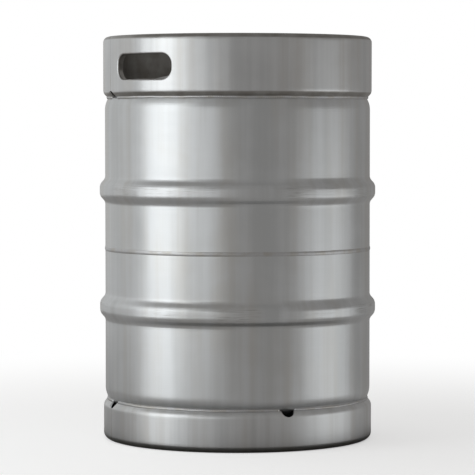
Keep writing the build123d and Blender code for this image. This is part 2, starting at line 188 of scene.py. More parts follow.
# ---- Waviness of the drawn sheet ----
WAVE_ORDERS = (2, 3, 5, 9, 16, 23, 31, 44, 58)
WAVE_HEIGHTS = (16e-5, 10e-5, 6e-5, 4e-5, 3e-5, 2.4e-5, 1.8e-5, 1.3e-5, 0.8e-5)
WAVE_FADE = (0.150, 0.185)  # no waviness inside the first radius, all of it outside the second


def wavy(points):
    """Moves points of the wall and chimes in by a fraction of a millimetre, as cold-rolled sheet lies."""
    points = np.asarray(points, float)
    radius = np.hypot(points[..., 0], points[..., 1])
    angle = np.arctan2(points[..., 1], points[..., 0])
    depth = np.zeros_like(radius)
    for i, (order, height) in enumerate(zip(WAVE_ORDERS, WAVE_HEIGHTS)):
        sway = 1.7 * i + (3 + 1.3 * i) * (points[..., 2] - GIRTH_Z)
        depth += height * (1 - np.cos(order * angle + sway) * np.cos(2.1 * i + 5 * points[..., 2]))
    share = np.clip((radius - WAVE_FADE[0]) / (WAVE_FADE[1] - WAVE_FADE[0]), 0, 1)
    scale = 1 - depth * share / np.maximum(radius, EPS)
    return np.stack([points[..., 0] * scale, points[..., 1] * scale, points[..., 2]], axis=-1)


# ---- Meshes ----
class Net:
    """Vertices and faces of one mesh while it is put together."""

    def __init__(self):
        self.points = []
        self.faces = []

    def add(self, points):
        """Adds points of shape (..., 3) and gives their numbers in the same shape."""
        points = np.asarray(points, float)
        first = sum(len(p) for p in self.points)
        self.points.append(points.reshape(-1, 3))
        return first + np.arange(points[..., 0].size).reshape(points.shape[:-1])

    def strip(self, a, b, loop=False):
        """Quads between two rows of numbers."""
        ends = range(len(a)) if loop else range(len(a) - 1)
        for i in ends:
            j = (i + 1) % len(a)
            self.faces.append((a[i], a[j], b[j], b[i]))

    def grid(self, rows, loop_rows=False, loop_columns=False):
        """Quads over a grid of numbers."""
        count = len(rows) if loop_rows else len(rows) - 1
        for i in range(count):
            self.strip(rows[i], rows[(i + 1) % len(rows)], loop_columns)

    def cap(self, number_row):
        self.faces.append(tuple(number_row))

    def rod(self, rings):
        """A closed rod through rings of points."""
        numbers = self.add(rings)
        self.grid(numbers, loop_columns=True)
        self.cap(numbers[0][::-1])
        self.cap(numbers[-1])

    def finish(self, name, sharp=40.0):
        """The object, with doubled points merged, loose ones dropped and its faces turned outwards."""
        mesh = bpy.data.meshes.new(name)
        mesh.from_pydata(np.concatenate(self.points).tolist(), [], [list(map(int, f)) for f in self.faces])
        build = bmesh.new()
        build.from_mesh(mesh)
        bmesh.ops.remove_doubles(build, verts=build.verts, dist=EPS)
        bmesh.ops.delete(build, geom=[e for e in build.edges if not e.link_faces], context="EDGES")
        bmesh.ops.delete(build, geom=[v for v in build.verts if not v.link_faces], context="VERTS")
        bmesh.ops.recalc_face_normals(build, faces=build.faces)
        build.to_mesh(mesh)
        build.free()
        mesh.polygons.foreach_set("use_smooth", [True] * len(mesh.polygons))
        mesh.set_sharp_from_angle(angle=math.radians(sharp))
        made = bpy.data.objects.new(name, mesh)
        bpy.context.scene.collection.objects.link(made)
        return made


def turned(radius, angle, height):
    """Points at a radius from the axis, an angle in radians and a height. Each may be an array."""
    radius, angle, height = np.broadcast_arrays(radius, angle, height)
    return np.stack([radius * np.cos(angle), radius * np.sin(angle), height], axis=-1)


def swung(outline, angles):
    """Outline points (radius, height) at each angle in degrees: an array of (angle, point, xyz)."""
    return turned(outline[:, 0], np.radians(np.asarray(angles, float))[:, None], outline[:, 1])


def half_circle(radius, centre_z, count):
    """The outline of a ball, from its lowest point to its highest, both on the axis."""
    steps = np.radians(np.linspace(-90, 90, count))
    outline = np.stack([radius * np.cos(steps), centre_z + radius * np.sin(steps)], axis=-1)
    outline[[0, -1], 0] = 0.0
    return outline


def lathe(name, outline, count, sharp=40.0, shape=None):
    """A full turn of a closed outline. shape may move the points before they become a mesh."""
    points = swung(np.asarray(outline, float), angle_steps(count))
    if shape is not None:
        points = shape(points)
    net = Net()
    numbers = net.add(points)
    net.grid(numbers, loop_rows=True, loop_columns=True)
    return net.finish(name, sharp)


def cut(piece, cutters, sharp=40.0):
    """Cuts closed cutter meshes out of a piece and removes them."""
    for cutter in cutters:
        modifier = piece.modifiers.new("cut", "BOOLEAN")
        modifier.operation = "DIFFERENCE"
        modifier.solver = "EXACT"
        modifier.object = cutter
    bpy.context.view_layer.update()
    mesh = bpy.data.meshes.new_from_object(piece.evaluated_get(bpy.context.evaluated_depsgraph_get()))
    piece.modifiers.clear()
    piece.data = mesh
    mesh.set_sharp_from_angle(angle=math.radians(sharp))
    for cutter in cutters:
        bpy.data.objects.remove(cutter)
    return piece


# ---- Vessel ----
SHELL_ARC_STEP = 5.0
SHELL_LINE_STEP = 0.005
SHELL_COLUMNS = 500
CROWN_STEP = 0.006
NECK_HOLE_R = 0.0316
KNUCKLE_Z = GIRTH_Z + JOINT_RISE - KNUCKLE_DROP
KNUCKLE_CENTRE_R = BODY_R - KNUCKLE_R
CROWN_CENTRE_Z = KNUCKLE_Z - math.sqrt((CROWN_R - KNUCKLE_R) ** 2 - KNUCKLE_CENTRE_R**2)


def rib_moves():
    """A rib's outline, from its lower root bend to its upper one."""
    slope = math.radians(RIB_TURN)
    bends = RIB_ROOT_R + RIB_CREST_R
    flank = (RIB_PROUD - bends * (1 - math.cos(slope))) / math.sin(slope)
    run = bends * math.sin(slope) + flank * math.cos(slope)
    rise = [(RIB_ROOT_R, -RIB_TURN), flank, (RIB_CREST_R, RIB_TURN)]
    return [*rise, RIB_WIDTH - 2 * run, *reversed(rise)]


def half_shell(hole_r):
    """The closed outline of the top half shell, up to a hole at the axis, or to the axis itself."""
    edge_z = GIRTH_Z + GIRTH_GAP / 2
    rib_low_z = GIRTH_Z + RIB_RISE - RIB_WIDTH / 2
    crown_turn = math.degrees(math.asin(KNUCKLE_CENTRE_R / (CROWN_R - KNUCKLE_R)))
    hole_turn = math.degrees(math.asin(hole_r / CROWN_R))
    moves = [
        rib_low_z - edge_z,
        *rib_moves(),
        KNUCKLE_Z - rib_low_z - RIB_WIDTH,
        (KNUCKLE_R, 90 - crown_turn),
        (CROWN_R, crown_turn - hole_turn),
    ]
    outer = pen((BODY_R, edge_z), 90, moves, 0, SHELL_ARC_STEP, SHELL_LINE_STEP)
    inner = pen((BODY_R, edge_z), 90, moves, SHELL_T, 2 * SHELL_ARC_STEP, 4 * SHELL_LINE_STEP)
    return np.concatenate([with_crown_points(outer), with_crown_points(inner)[::-1]])


def with_crown_points(path):
    """Adds points along the crown, where the bend step alone gives only a few."""
    centre = np.array([0.0, CROWN_CENTRE_Z])
    filled = []
    for a, b in zip(path[:-1], path[1:]):
        filled.append(a)
        gap = np.linalg.norm(b - a)
        if gap > 2 * CROWN_STEP:
            count = int(gap / CROWN_STEP)
            for k in range(1, count):
                point = a + (b - a) * k / count - centre
                filled.append(centre + point / np.linalg.norm(point) * np.linalg.norm(a - centre))
    filled.append(path[-1])
    return np.array(filled)


def upside_down(points):
    """Points turned over about the girth plane."""
    points = np.array(points, float)
    points[..., 2] = 2 * GIRTH_Z - points[..., 2]
    return points


def make_upper_shell():
    return lathe("upper_shell_skin", half_shell(NECK_HOLE_R), SHELL_COLUMNS, shape=wavy)


def make_lower_shell():
    return lathe(
        "lower_shell_skin", half_shell(0.0), SHELL_COLUMNS, shape=lambda points: wavy(upside_down(points))
    )


# ---- Welds ----
GIRTH_BEAD_HALF = 0.003325
GIRTH_CROWN = 0.00075  # height of the bead's middle over its edges
GIRTH_PITCH = 0.0022
GIRTH_RIPPLE = 0.00007
GIRTH_LEAN = 0.0012  # how far the ripples' middles run ahead of their ends
GIRTH_SINK = 0.0001  # depth of the bead's edges under the wall
GIRTH_ROOT_HALF = 0.002
GIRTH_COLUMNS = 2400


def make_girth_weld():
    """A machine-welded bead with crescent ripples, buried a little in the wall behind it."""
    across = np.linspace(-1, 1, 13)
    angle = np.radians(angle_steps(GIRTH_COLUMNS))[:, None]
    lean = GIRTH_LEAN * across[None, :] ** 2
    waves = round(2 * math.pi * BODY_R / GIRTH_PITCH)
    phase = waves * (angle + lean / BODY_R)
    swell = 1 - across[None, :] ** 2
    drift = 0.00012 * np.sin(7 * angle) + 0.00008 * np.sin(19 * angle + 1)
    radius = BODY_R - GIRTH_SINK + swell * (GIRTH_CROWN + GIRTH_RIPPLE * np.cos(phase))
    skin = turned(radius, angle, GIRTH_Z + across * GIRTH_BEAD_HALF + drift)
    root = [(BODY_R - SHELL_T, GIRTH_Z + side * GIRTH_ROOT_HALF) for side in (1, -1)]
    back = swung(np.array(root), angle_steps(GIRTH_COLUMNS))
    net = Net()
    numbers = net.add(wavy(np.concatenate([skin, back], axis=1)))
    net.grid(numbers, loop_rows=True, loop_columns=True)
    return net.finish("girth_weld_bead", 60)


ROOT_BEAD_R = 0.0029
ROOT_BEAD_IN = 0.0012  # how far the bead's centre lies behind the lip's corner
ROOT_PITCH = 0.0026
ROOT_RIPPLE = 0.00011
ROOT_STEP = 0.11  # degrees
DRAIN_GAP = 3.3  # degrees from a drain's centre to the nearest bead end


def placed(points, chime):
    """Points drawn for a top chime, put where the chime is, with the sheet's waviness."""
    return wavy(upside_down(points) if chime.flip else points)


def make_root_weld(name, chime):
    """The bead between a chime's lip and the shell, in runs between the drain notches."""
    lip_r = lip_path_start()[0]
    net = Net()
    around = np.radians(angle_steps(16))
    arc = 360 / len(chime.drains) - 2 * DRAIN_GAP
    for run, drain in enumerate(chime.drains):
        t = np.linspace(0, 1, round(arc / ROOT_STEP))[:, None]
        angle = np.radians(drain + DRAIN_GAP + t * arc)
        length = math.radians(arc) * lip_r
        taper = np.sqrt(np.clip(np.minimum(t, 1 - t) * length / ROOT_BEAD_R, 0.02, 1))
        ripple = ROOT_RIPPLE * np.cos(2 * math.pi * t * length / ROOT_PITCH + 0.6 * np.cos(around))
        wander = 0.00025 * np.sin(11 * angle + run) + 0.00012 * np.sin(37 * angle)
        size = (ROOT_BEAD_R + ripple) * taper
        radius = lip_r - ROOT_BEAD_IN + size * np.cos(around)
        height = LIP_Z + size * np.sin(around) + wander
        net.rod(placed(turned(radius, angle, height), chime))
    return net.finish(name, 60)


# ---- Chimes ----
# Both are drawn as a top chime that ends at end_z, and the bottom one is then turned over.
Chime = namedtuple("Chime", "end_z bends drains with_holes flip")
TOP_CHIME = Chime(HEIGHT, RIM_BENDS, RIM_DRAINS, True, False)
BOTTOM_CHIME = Chime(2 * GIRTH_Z, FOOT_BENDS, FOOT_DRAINS, False, True)
COLUMN_STEP = 0.9  # degrees
PATCH_LOW_Z = HOLE_Z - PATCH_HALF_HEIGHT
PATCH_HIGH_Z = HOLE_Z + PATCH_HALF_HEIGHT


def lip_path_start():
    """The outer corner of the welded lip."""
    lean = math.radians(LIP_TURN)
    radius = CHIME_R - LIP_BEND_R * (1 - math.cos(lean)) - LIP_LENGTH * math.sin(lean)
    return radius, LIP_Z


def chime_paths(chime):
    """Outer and inner paths of a chime, from its lip to the end of its rolled edge."""
    bend_r, flat, back = chime.bends
    lean = math.radians(LIP_TURN)
    wall_low = LIP_Z + LIP_LENGTH * math.cos(lean) + LIP_BEND_R * math.sin(lean)
    wall_high = chime.end_z - bend_r
    if chime.with_holes:
        window_rows = [2 * PATCH_HALF_HEIGHT / PATCH_ROWS] * PATCH_ROWS
        wall = [PATCH_LOW_Z - wall_low, *window_rows, wall_high - PATCH_HIGH_Z]
    else:
        wall = [wall_high - wall_low]
    moves = [LIP_LENGTH, (LIP_BEND_R, LIP_TURN), *wall, (bend_r, 90), flat, (bend_r, 90), back]
    start = lip_path_start()
    return [pen(start, 90 - LIP_TURN, moves, offset) for offset in (0.0, CHIME_T)]


def path_lengths(path):
    """How far along a path each of its points is."""
    return np.concatenate([[0.0], np.cumsum(np.linalg.norm(np.diff(path, axis=0), axis=1))])


def path_at(path, lengths, where):
    """The path's points at the distances in where."""
    return np.stack([np.interp(where, lengths, path[:, k]) for k in (0, 1)], axis=-1)


def drain_height(angle, drains):
    """How high the nearest drain notch cuts the lip at an angle, or 0 beside the notches."""
    joint_z = GIRTH_Z + JOINT_RISE
    away = min(abs((angle - d + 180) % 360 - 180) for d in drains)
    side = KNUCKLE_SIDE_R * math.sin(math.radians(away))
    if away > 10 or side >= DRAIN_R:
        return 0.0
    return joint_z + math.sqrt(DRAIN_R**2 - side**2)


def chime_outline(paths, cut_z):
    """The chime's closed section, outer path first, with its lip cut up to cut_z."""
    sides, starts = [], []
    for path in paths:
        lengths = path_lengths(path)
        low = path[:, 1][: int(np.argmax(path[:, 1]))]
        start = np.interp(cut_z, low, lengths[: len(low)]) if cut_z else 0.0
        start = min(start, NOTCH_REACH - 0.001)
        first, last = start + SHEET_EDGE, lengths[-1] - SHEET_EDGE
        where = lengths.copy()
        near = where < NOTCH_REACH
        where[near] = first + where[near] * (NOTCH_REACH - first) / NOTCH_REACH
        where[-1] = last
        sides.append(path_at(path, lengths, where))
        starts.append(path_at(path, lengths, np.array([start, lengths[-1]])))
    share = SHEET_EDGE / CHIME_T
    lip = [starts[0][0] * (1 - w) + starts[1][0] * w for w in (share, 1 - share)]
    end = [starts[0][1] * (1 - w) + starts[1][1] * w for w in (share, 1 - share)]
    return np.concatenate([sides[0], end, sides[1][::-1], lip[::-1]])


def chime_angles(chime):
    """Angles of the mesh's columns: even ones, finer ones at the notches, and the hand holes' own."""
    half_gap = SEAM_WIDTH / 2
    fixed = [SEAM_ANGLE + half_gap, SEAM_ANGLE + 360 - half_gap]
    angles = set(fixed)
    for drain in chime.drains:
        reach = math.degrees(math.asin(DRAIN_R / KNUCKLE_SIDE_R))
        steps = [reach * math.cos(math.radians(a)) for a in range(0, 181, 9)]
        for angle in steps:
            angles.add(round((drain + angle - SEAM_ANGLE) % 360 + SEAM_ANGLE, 5))
    windows = [(d - 3.2, d + 3.2) for d in [*chime.drains, SEAM_ANGLE + 360]]
    if chime.with_holes:
        for hole in HOLE_ANGLES:
            centre = (hole - SEAM_ANGLE) % 360 + SEAM_ANGLE
            for k in range(PATCH_COLUMNS + 1):
                angles.add(round(centre + PATCH_HALF_ANGLE * (2 * k / PATCH_COLUMNS - 1), 5))
            windows.append((centre - PATCH_HALF_ANGLE - 0.3, centre + PATCH_HALF_ANGLE + 0.3))
    for angle in np.arange(SEAM_ANGLE + 1, SEAM_ANGLE + 360, COLUMN_STEP):
        if not any(low < angle < high for low, high in windows):
            angles.add(round(float(angle), 5))
    return np.array(sorted(a for a in angles if fixed[0] <= a <= fixed[1]))


def quarter_outline(arc):
    """A point on a hand hole's first quarter, which runs from its side to its top, and the way out there."""
    straight = HOLE_HALF_HEIGHT - HOLE_CORNER_R
    bend = HOLE_CORNER_R * math.pi / 2
    if arc < straight:
        return (HOLE_HALF_WIDTH, arc), (1, 0)
    if arc < straight + bend:
        turn = (arc - straight) / HOLE_CORNER_R
        way = (math.cos(turn), math.sin(turn))
        centre = (HOLE_HALF_WIDTH - HOLE_CORNER_R, straight)
        return (centre[0] + HOLE_CORNER_R * way[0], centre[1] + HOLE_CORNER_R * way[1]), way
    return (HOLE_HALF_WIDTH - HOLE_CORNER_R - (arc - straight - bend), HOLE_HALF_HEIGHT), (0, 1)


def hole_outline():
    """Points and outward ways round a hand hole, as many as the window round it has edge points."""
    to_corner = HOLE_HALF_HEIGHT - HOLE_CORNER_R + HOLE_CORNER_R * math.pi / 4
    to_top = HOLE_CORNER_R * math.pi / 4 + HOLE_HALF_WIDTH - HOLE_CORNER_R
    side, top = PATCH_ROWS // 2, PATCH_COLUMNS // 2
    arcs = [to_corner * k / side for k in range(side)]
    arcs += [to_corner + to_top * k / top for k in range(top + 1)]
    quarter = [quarter_outline(arc) for arc in arcs]
    points = np.array([q[0] for q in quarter], float)
    ways = np.array([q[1] for q in quarter], float)
    spots, outs = [], []
    for sx, sz, order in ((1, 1, 1), (-1, 1, -1), (-1, -1, 1), (1, -1, -1)):
        flip = np.array([sx, sz])
        spots.append((points * flip)[::order][:-1])
        outs.append((ways * flip)[::order][:-1])
    return np.concatenate(spots), np.concatenate(outs)


def window_loop():
    """(column, row) of the window's edge points, in the order of hole_outline."""
    c, r = PATCH_COLUMNS, PATCH_ROWS
    loop = [(c, k) for k in range(r // 2, r)]
    loop += [(k, r) for k in range(c, 0, -1)]
    loop += [(0, k) for k in range(r, 0, -1)]
    loop += [(k, 0) for k in range(c)]
    loop += [(c, k) for k in range(r // 2)]
    return loop


def collar_rings():
    """(growth of the outline, depth) of the rings round the collar, from the outer face to the inner one."""
    bend, t = COLLAR_BEND_R, CHIME_T
    rings = []
    for a in range(0, 91, 11):
        turn = math.radians(a * 90 / 88)
        rings.append((bend * (1 - math.sin(turn)), bend * (1 - math.cos(turn))))
    end = COLLAR_DEPTH - t / 2
    rings += [(0.0, bend + (end - bend) * k / 3) for k in (1, 2, 3)]
    for a in range(30, 151, 30):
        turn = math.radians(a)
        rings.append((t / 2 * (1 - math.cos(turn)), end + t / 2 * math.sin(turn)))
    rings += [(t, end - (end - bend) * k / 3) for k in (0, 1, 2)]
    for a in range(0, 91, 18):
        turn = math.radians(90 - a)
        rings.append((bend - (bend - t) * math.sin(turn), bend - (bend - t) * math.cos(turn)))
    return rings


def make_chime(name, chime):
    """A chime, open at its seam, with its drain notches and the collared hand holes that it may have."""
    paths = chime_paths(chime)
    angles = chime_angles(chime)
    sections = np.array([chime_outline(paths, drain_height(angle, chime.drains)) for angle in angles])
    points = turned(sections[..., 0], np.radians(angles)[:, None], sections[..., 1])
    net = Net()
    numbers = net.add(placed(points, chime))
    windows = []
    if chime.with_holes:
        windows = [hole_window(net, numbers, sections, angles, hole) for hole in HOLE_ANGLES]
    count = numbers.shape[1]
    for i in range(len(numbers) - 1):
        for j in range(count):
            if any(c0 <= i < c1 and r0 <= j < r1 for c0, c1, spans in windows for r0, r1 in spans):
                continue
            k = (j + 1) % count
            net.faces.append((numbers[i][j], numbers[i][k], numbers[i + 1][k], numbers[i + 1][j]))
    along = len(paths[0])
    for end in (0, -1):
        row = numbers[end]
        outer, inner = row[:along], row[along + 2 : 2 * along + 2][::-1]
        net.strip(outer, inner)
        net.cap([outer[-1], row[along], row[along + 1], inner[-1]])
        net.cap([outer[0], inner[0], row[-2], row[-1]])
    return net.finish(name, 50)


def hole_window(net, numbers, sections, angles, hole):
    """Fills the window round a hand hole on both faces of the chime, and joins them by the collar."""
    centre = (hole - SEAM_ANGLE) % 360 + SEAM_ANGLE
    first = int(np.argmin(abs(angles - (centre - PATCH_HALF_ANGLE))))
    spots, outs = hole_outline()
    loop = window_loop()
    spans, edges = [], []
    for depth in (0.0, CHIME_T):
        radius = CHIME_R - depth
        near = EPS * 10
        section_r, section_z = sections[0].T
        in_window = (section_z > PATCH_LOW_Z - near) & (section_z < PATCH_HIGH_Z + near)
        rows = np.nonzero((abs(section_r - radius) < near) & in_window)[0]
        spans.append((rows[0], rows[-1]))
        upward = rows if depth == 0 else rows[::-1]
        edge = np.array([numbers[first + c][upward[r]] for c, r in loop])
        degrees = np.array([angles[first + c] - centre for c, r in loop])
        heights = np.array([section_z[upward[r]] for c, r in loop])
        mouth = spots + outs * COLLAR_BEND_R
        mouth_degrees = np.degrees(np.arcsin(mouth[:, 0] / radius))
        rings = [edge]
        for k in range(1, PATCH_RINGS):
            t = (k / PATCH_RINGS) ** 0.9
            turn = np.radians(degrees * (1 - t) + mouth_degrees * t + centre)
            ring = turned(radius, turn, heights * (1 - t) + (HOLE_Z + mouth[:, 1]) * t)
            rings.append(net.add(wavy(ring)))
        net.grid(rings, loop_columns=True)
        edges.append(rings[-1])
    rows = [edges[0]]
    for growth, depth in collar_rings():
        spot = spots + outs * growth
        radius = CHIME_R - depth
        turn = np.arcsin(spot[:, 0] / radius) + math.radians(centre)
        rows.append(net.add(wavy(turned(radius, turn, HOLE_Z + spot[:, 1]))))
    rows.append(edges[1])
    net.grid(rows, loop_columns=True)
    return first, first + PATCH_COLUMNS, spans


SEAM_PITCH = 0.0016
SEAM_BEAD = 0.00022
SEAM_STEP = 0.0004


def make_seam(name, chime):
    """The weld that closes a chime's seam, from the drain notch round the rolled edge."""
    paths = chime_paths(chime._replace(with_holes=False))
    tables = []
    for path in paths:
        lengths = path_lengths(path)
        low = path[:, 1][: int(np.argmax(path[:, 1]))]
        start = np.interp(GIRTH_Z + JOINT_RISE + DRAIN_R, low, lengths[: len(low)])
        count = int((path_lengths(paths[0])[-1] - 0.012) / SEAM_STEP)
        tables.append(path_at(path, lengths, np.linspace(start, lengths[-1], count)))
    outer, inner = tables
    across_way = (outer - inner) / np.linalg.norm(outer - inner, axis=1)[:, None]
    across = np.linspace(-1, 1, 9)
    along = np.arange(len(outer)) * SEAM_STEP
    columns = []
    for side in across:
        swell = 1 - side**2
        ripple = 1 + 0.3 * np.cos(2 * math.pi * (along + 0.0006 * side**2) / SEAM_PITCH)
        lift = (SEAM_BEAD * swell * ripple)[:, None]
        section = np.concatenate([outer + across_way * lift, (inner - across_way * lift)[::-1]])
        section[:, 1] = np.minimum(section[:, 1], chime.end_z)
        angle = math.radians(SEAM_ANGLE + side * SEAM_WIDTH / 2)
        columns.append(turned(section[:, 0], angle, section[:, 1]))
    points = np.array(columns)
    net = Net()
    numbers = net.add(placed(points, chime))
    net.grid(numbers, loop_columns=True)
    for row in (numbers[0], numbers[-1]):
        half = len(outer)
        net.strip(row[:half], row[half:][::-1])
    return net.finish(name, 60)


# ---- Neck and valve ----
SMALL_COLUMNS = 192
MACHINED_EDGE = 0.0004
NECK_BORE_R = 0.0249
NECK_THROAT_R = 0.0226
GROOVE_R = 0.0265
NECK_BEAD_R = 0.0034
NECK_BEAD_PITCH = 0.0024
NECK_BEAD_COLUMNS = 720


def make_neck():
    groove_low, groove_high = BODY_TOP_Z, RING_TOP_Z + 0.0002
    flange_low = NECK_TOP_Z - 0.006
    skirt_top = DOME_TOP_Z + 0.0092
    corners = [
        (NECK_BORE_R + 0.001, NECK_TOP_Z),
        (NECK_R - 0.001, NECK_TOP_Z),
        (NECK_R, NECK_TOP_Z - 0.001),
        (NECK_R, flange_low + 0.001),
        (NECK_R - 0.001, flange_low),
        (NECK_R - 0.004, flange_low - 0.0015),
        (NECK_R - 0.004, skirt_top + 0.002),
        (NECK_R - 0.0005, skirt_top),
        (NECK_R - 0.0005, NECK_LOW_Z + 0.002),
        (NECK_R - 0.0025, NECK_LOW_Z),
        (NECK_THROAT_R, NECK_LOW_Z),
        (NECK_THROAT_R, GASKET_LOW_Z),
        (NECK_BORE_R, GASKET_LOW_Z),
        (NECK_BORE_R, groove_low),
        (GROOVE_R, groove_low),
        (GROOVE_R, groove_high),
        (NECK_BORE_R, groove_high),
        (NECK_BORE_R, NECK_TOP_Z - 0.001),
    ]
    return lathe("neck_turned", softened(corners, MACHINED_EDGE), SMALL_COLUMNS)


def make_neck_weld():
    """The fillet bead round the neck's skirt, with coarse ripples."""
    angle = np.radians(angle_steps(NECK_BEAD_COLUMNS))[:, None]
    around = np.radians(angle_steps(18))
    waves = round(2 * math.pi * NECK_R / NECK_BEAD_PITCH)
    size = NECK_BEAD_R + 0.00005 * np.cos(waves * angle + 0.8 * np.cos(around)) + 0.0001 * np.sin(5 * angle)
    radius = NECK_R - 0.0002 + size * np.cos(around)
    height = DOME_TOP_Z - 0.0011 + size * 0.8 * np.sin(around)
    net = Net()
    net.grid(net.add(turned(radius, angle, height)), loop_rows=True, loop_columns=True)
    return net.finish("neck_weld_bead", 60)


def make_neck_gasket():
    corners = [
        (NECK_THROAT_R + 0.0002, GASKET_LOW_Z),
        (0.0246, GASKET_LOW_Z),
        (0.0246, GASKET_HIGH_Z),
        (NECK_THROAT_R + 0.0002, GASKET_HIGH_Z),
    ]
    return lathe("neck_gasket_ring", softened(corners, 0.0007, 5), SMALL_COLUMNS)


LUG_SLOT_HALF = 0.006
COUPLER_R = 0.018
LUG_ROOM_R = 0.0206
SEAT_R = 0.0132
LIP_UNDER_Z = BODY_TOP_Z - 0.0045


def make_valve_body():
    """The flanged body: the lip that coupler lugs turn under, the lug room, and the gas seal's seat."""
    seat_z = BODY_LOW_Z + 0.021
    land_z = SEAL_TOP_Z
    corners = [
        (COUPLER_R, LIP_UNDER_Z),
        (COUPLER_R, BODY_TOP_Z),
        (0.0246, BODY_TOP_Z),
        (0.0246, GASKET_HIGH_Z),
        (0.0222, GASKET_HIGH_Z),
        (0.0222, BODY_LOW_Z),
        (0.0194, BODY_LOW_Z),
        (0.0194, seat_z),
        (SEAT_R, seat_z),
        (SEAT_R, land_z),
        (LUG_ROOM_R, land_z),
        (LUG_ROOM_R, LIP_UNDER_Z),
    ]
    body = lathe("valve_body_turned", softened(corners, MACHINED_EDGE), SMALL_COLUMNS)
    return cut(body, [slot_cutter(side) for side in (-1, 1)], 35)


def slot_cutter(side):
    """A closed block for one lug slot, with its outer face curved to the lug room's radius."""
    net = Net()
    low, high = LIP_UNDER_Z - 0.0006, BODY_TOP_Z + 0.002
    end = math.sqrt(LUG_ROOM_R**2 - LUG_SLOT_HALF**2)
    outline = [(-LUG_SLOT_HALF, 0.010), (LUG_SLOT_HALF, 0.010)]
    reach = math.asin(LUG_SLOT_HALF / LUG_ROOM_R)
    for t in np.linspace(1, -1, 13):
        outline.append((LUG_ROOM_R * math.sin(reach * t), LUG_ROOM_R * math.cos(reach * t)))
    points = np.array([(x, side * y, z) for z in (low, high) for x, y in outline])
    numbers = net.add(points.reshape(2, len(outline), 3))
    net.grid(numbers, loop_columns=True)
    net.cap(numbers[0])
    net.cap(numbers[1][::-1])
    return net.finish("slot_cutter", 30)


RING_OPEN = 24.0


def make_retaining_ring():
    """The open snap ring in the neck's groove, with rounded ends."""
    outline = softened(
        [
            (0.0222, BODY_TOP_Z),
            (0.0263, BODY_TOP_Z),
            (0.0263, RING_TOP_Z),
            (0.0222, RING_TOP_Z),
        ],
        0.0004,
    )
    angles = np.linspace(RING_OPEN / 2, 360 - RING_OPEN / 2, 168)
    points = swung(outline, angles)
    middle = outline.mean(axis=0)
    ends = []
    for angle, way in ((angles[0], -1), (angles[-1], 1)):
        for share, step in ((0.86, 0.5), (0.5, 0.9)):
            small = middle + (outline - middle) * share
            ends.append(swung(small, [angle + way * step])[0])
    net = Net()
    net.rod(np.concatenate([[ends[1]], [ends[0]], points, [ends[2]], [ends[3]]]))
    return net.finish("retaining_ring_snap", 35)


def make_gas_seal():
    """The moulded rubber seal, with a raised bead round its top face and the ball's seat in its middle."""
    flange_top = BODY_LOW_Z + 0.021
    corners = [
        (0.0063, SEAL_TOP_Z - 0.0012),
        (0.0073, SEAL_TOP_Z - 0.0004),
        (0.0090, SEAL_TOP_Z - 0.0009),
        (0.0104, SEAL_TOP_Z - 0.0009),
        (0.0114, SEAL_TOP_Z),
        (0.0124, SEAL_TOP_Z - 0.0001),
        (0.0129, SEAL_TOP_Z - 0.0009),
        (0.0129, flange_top),
        (0.0168, flange_top),
        (0.0168, SEAL_LOW_Z),
        (0.0088, SEAL_LOW_Z),
        (0.0088, flange_top - 0.0014),
        (0.0063, flange_top - 0.0005),
    ]
    return lathe("gas_seal_moulded", softened(corners, 0.0004, 4), 160)


def make_ball():
    """The ball, as a fine closed turned mesh."""
    net = Net()
    net.grid(net.add(swung(half_circle(BALL_R, BALL_Z, 49), angle_steps(96))), loop_rows=True)
    return net.finish("valve_ball_polished", 60)


GAS_SPRING = (0.0123, 0.0011, 7)  # coil radius, wire radius, turns
BALL_SPRING = (0.0063, 0.00045, 6)
END_RISE = 0.04  # share of the height that each flat end turn climbs


def make_spring(name, node, coil):
    """A helical spring in its node's height, with flat closed end turns and flat-capped wire ends."""
    coil_r, wire_r, turns = coil
    low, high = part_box(node)[0].z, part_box(node)[1].z
    t = np.linspace(0, 1, 72 * turns)
    closed = 0.9 / turns  # share of the wire in each flat end turn
    open_rise = np.clip((t - closed) / (1 - 2 * closed), 0, 1)
    end_rise = np.clip(t / closed, 0, 1) + np.clip((t - 1 + closed) / closed, 0, 1)
    rise = open_rise * (1 - 2 * END_RISE) + end_rise * END_RISE
    angle = 2 * math.pi * turns * t
    centre = turned(coil_r, angle, low + wire_r + rise * (high - low - 2 * wire_r))
    ahead = np.gradient(centre, axis=0)
    ahead /= np.linalg.norm(ahead, axis=1)[:, None]
    out = turned(1.0, angle, 0.0)
    up = np.cross(ahead, out)
    around = np.radians(angle_steps(12))[None, :, None]
    section = np.cos(around) * out[:, None, :] + np.sin(around) * up[:, None, :]
    net = Net()
    net.rod(centre[:, None, :] + wire_r * section)
    return net.finish(name, 50)


